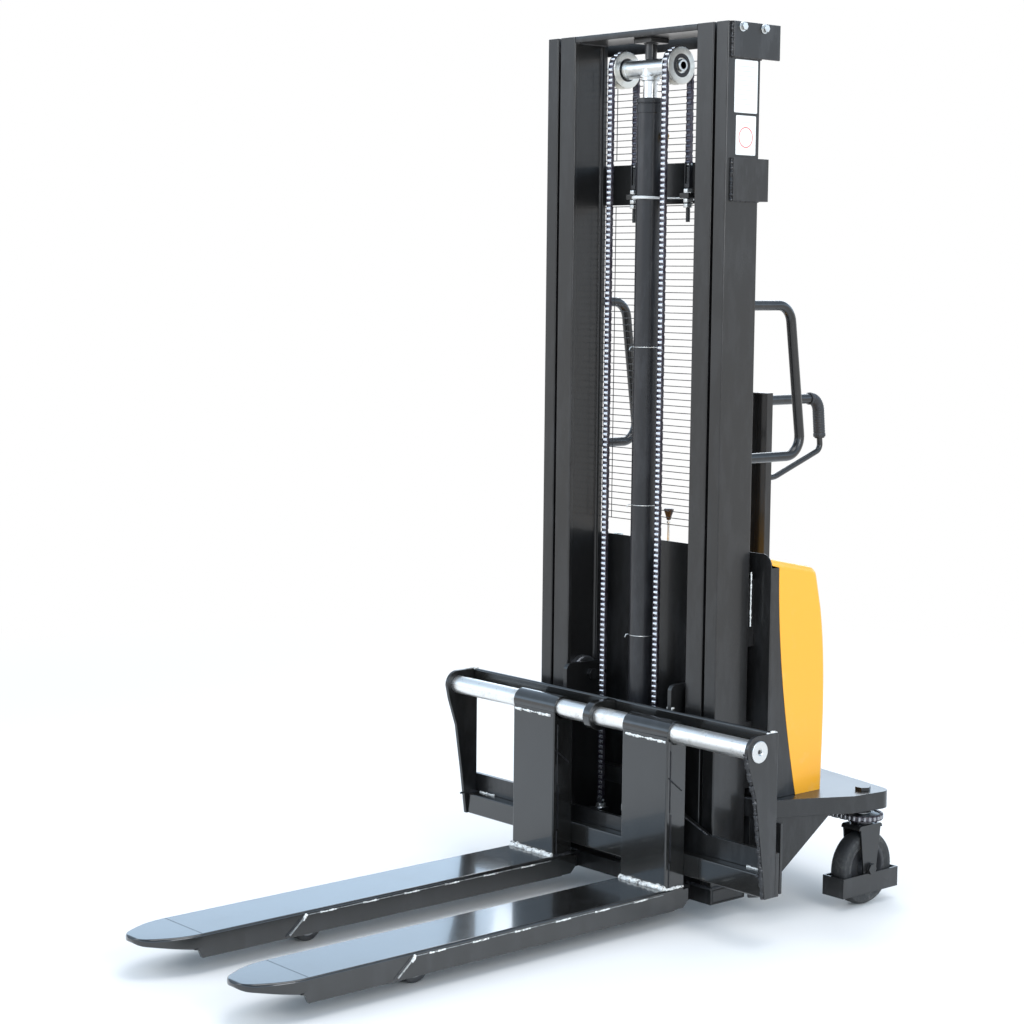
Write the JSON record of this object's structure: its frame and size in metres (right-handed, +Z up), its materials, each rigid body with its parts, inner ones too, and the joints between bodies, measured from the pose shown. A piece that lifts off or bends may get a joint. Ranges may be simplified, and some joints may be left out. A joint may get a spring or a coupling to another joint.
{
  "type": "walkie stacker",
  "caption": "Walk-behind pallet stacker with a two-stage chain mast, sliding forks on a round bar, a steering tiller and a covered pump unit.",
  "frame": {"origin": "on the floor under the middle of the machine's outer box", "axes": "+Z up, +Y towards the operator's tiller, so the forks point to -Y; +X across the machine to the side the fork bar's right end is on"},
  "size_m": [1.066, 1.9779, 2.08],
  "materials": {
    "frame_paint": "gloss black enamel",
    "cover_paint": "satin yellow enamel",
    "zinc_steel": "bright zinc plate",
    "ground_steel": "ground and plated",
    "roller_steel": "turned, oiled",
    "chain_steel": "blued and oiled",
    "rubber": "matte",
    "nylon": "dark nylon",
    "black_plastic": "moulded",
    "pump_paint": "satin grey"
  },
  "bodies": {
    "chassis": {"outer_column_right": "frame_paint", "outer_column_left": "frame_paint", "top_tie": "frame_paint", "middle_tie": "frame_paint", "foot_beam": "frame_paint", "tie_bolts": "zinc_steel", "lift_cylinder": "frame_paint", "rear_chain_anchors": "zinc_steel", "support_leg_right": "frame_paint", "support_leg_left": "frame_paint", "base_plate": "frame_paint", "gussets": "frame_paint", "steering_chain": "chain_steel", "front_panel": "frame_paint", "housing_sides": "frame_paint", "rear_cover": "cover_paint", "battery": "black_plastic", "pump_unit": "pump_paint", "oil_tank": "pump_paint", "controller": "black_plastic", "pressure_pipe": "zinc_steel", "lower_guard": "frame_paint", "upper_guard": "frame_paint", "side_handles": "frame_paint", "control_valve": "pump_paint"},
    "outer_rollers": {"outer_mast_rollers": "roller_steel"},
    "inner_mast": {"inner_column_right": "frame_paint", "inner_column_left": "frame_paint", "inner_top_beam": "frame_paint", "inner_lower_beam": "frame_paint", "piston_rod": "ground_steel", "crosshead": "zinc_steel", "chain_wraps": "chain_steel", "rear_chain_runs": "chain_steel"},
    "inner_rollers": {"inner_mast_rollers": "roller_steel"},
    "pulleys": {"chain_pulleys": "zinc_steel"},
    "carriage": {"carriage_side_plates": "frame_paint", "fork_bar": "ground_steel", "bar_fittings": "zinc_steel", "carriage_top_rail": "frame_paint", "carriage_lower_bar": "frame_paint", "carriage_back_plate": "frame_paint", "roller_plates": "frame_paint", "front_chain_anchors": "zinc_steel", "front_chain_runs": "chain_steel"},
    "upper_rollers": {"upper_carriage_rollers": "roller_steel"},
    "lower_rollers": {"lower_carriage_rollers": "roller_steel"},
    "right_fork": {"fork_right": "frame_paint"},
    "left_fork": {"fork_left": "frame_paint"},
    "tiller": {"tiller_post": "frame_paint", "tiller_loop": "frame_paint", "tiller_grip": "rubber"},
    "right_swivel": {"caster_fork_right": "frame_paint"},
    "left_swivel": {"caster_fork_left": "frame_paint"},
    "right_wheel": {"caster_wheel_right": "rubber"},
    "left_wheel": {"caster_wheel_left": "rubber"},
    "right_load_roller": {"load_roller_right": "nylon"},
    "left_load_roller": {"load_roller_left": "nylon"},
    "lever": {"lift_lever": "black_plastic"},
    "button": {"stop_button": "black_plastic"}
  },
  "joints": [
    {"name": "mast_lift", "type": "slide", "parent": "chassis", "child": "inner_mast", "axis": [0, 0, 1], "range_m": [0, 1.45], "deforming": ["rear_chain_runs"]},
    {"name": "carriage_lift", "type": "slide", "parent": "inner_mast", "child": "carriage", "axis": [0, 0, 1], "range_m": [0, 1.45], "deforming": ["front_chain_runs"]},
    {"name": "outer_roller_spin", "type": "hinge", "parent": "chassis", "child": "outer_rollers", "pos_m": [0, 0.336, 2.025], "axis": [1, 0, 0], "range_deg": [0, 1984]},
    {"name": "inner_roller_spin", "type": "hinge", "parent": "inner_mast", "child": "inner_rollers", "pos_m": [0, 0.336, 0.15], "axis": [-1, 0, 0], "range_deg": [0, 1984]},
    {"name": "pulley_spin", "type": "hinge", "parent": "inner_mast", "child": "pulleys", "pos_m": [0, 0.337, 1.996], "axis": [-1, 0, 0], "range_deg": [0, 2007]},
    {"name": "upper_roller_spin", "type": "hinge", "parent": "carriage", "child": "upper_rollers", "pos_m": [0, 0.336, 0.516], "axis": [1, 0, 0], "range_deg": [0, 1984]},
    {"name": "lower_roller_spin", "type": "hinge", "parent": "carriage", "child": "lower_rollers", "pos_m": [0, 0.336, 0.165], "axis": [-1, 0, 0], "range_deg": [0, 1984]},
    {"name": "right_fork_slide", "type": "slide", "parent": "carriage", "child": "right_fork", "axis": [1, 0, 0], "range_m": [-0.025, 0.025]},
    {"name": "left_fork_slide", "type": "slide", "parent": "carriage", "child": "left_fork", "axis": [1, 0, 0], "range_m": [-0.025, 0.025]},
    {"name": "tiller_steer", "type": "hinge", "parent": "chassis", "child": "tiller", "pos_m": [0, 0.751, 0.278], "axis": [0, 0, 1], "range_deg": [-80, 80]},
    {"name": "right_swivel", "type": "hinge", "parent": "chassis", "child": "right_swivel", "pos_m": [0.421, 0.679, 0.198], "axis": [0, 0, 1], "range_deg": [-80, 80]},
    {"name": "right_wheel_spin", "type": "hinge", "parent": "right_swivel", "child": "right_wheel", "pos_m": [0.421, 0.679, 0.09], "axis": [1, 0, 0], "continuous": true},
    {"name": "right_load_roller_spin", "type": "hinge", "parent": "chassis", "child": "right_load_roller", "pos_m": [0.1945, -0.541, 0.037], "axis": [1, 0, 0], "continuous": true},
    {"name": "left_swivel", "type": "hinge", "parent": "chassis", "child": "left_swivel", "pos_m": [-0.421, 0.679, 0.198], "axis": [0, 0, 1], "range_deg": [-80, 80]},
    {"name": "left_wheel_spin", "type": "hinge", "parent": "left_swivel", "child": "left_wheel", "pos_m": [-0.421, 0.679, 0.09], "axis": [1, 0, 0], "continuous": true},
    {"name": "left_load_roller_spin", "type": "hinge", "parent": "chassis", "child": "left_load_roller", "pos_m": [-0.1945, -0.541, 0.037], "axis": [1, 0, 0], "continuous": true},
    {"name": "lift_lever", "type": "hinge", "parent": "chassis", "child": "lever", "pos_m": [-0.087, 0.511, 0.77], "axis": [1, 0, 0], "range_deg": [-15, 15], "stiffness_Nm_per_rad": 1.5},
    {"name": "stop_button", "type": "slide", "parent": "chassis", "child": "button", "axis": [0, 0, -1], "range_m": [0, 0.006], "stiffness_N_per_m": 400, "springref_m": -0.004}
  ],
  "couplings": [
    {"joint": "carriage_lift", "follows": "mast_lift", "ratio": 1},
    {"joint": "outer_roller_spin", "follows": "mast_lift", "rad_per_m": 23.809},
    {"joint": "inner_roller_spin", "follows": "mast_lift", "rad_per_m": 23.809},
    {"joint": "pulley_spin", "follows": "mast_lift", "rad_per_m": 24.096},
    {"joint": "upper_roller_spin", "follows": "mast_lift", "rad_per_m": 23.809},
    {"joint": "lower_roller_spin", "follows": "mast_lift", "rad_per_m": 23.809},
    {"joint": "right_swivel", "follows": "tiller_steer", "ratio": 1},
    {"joint": "left_swivel", "follows": "tiller_steer", "ratio": 1}
  ]
}
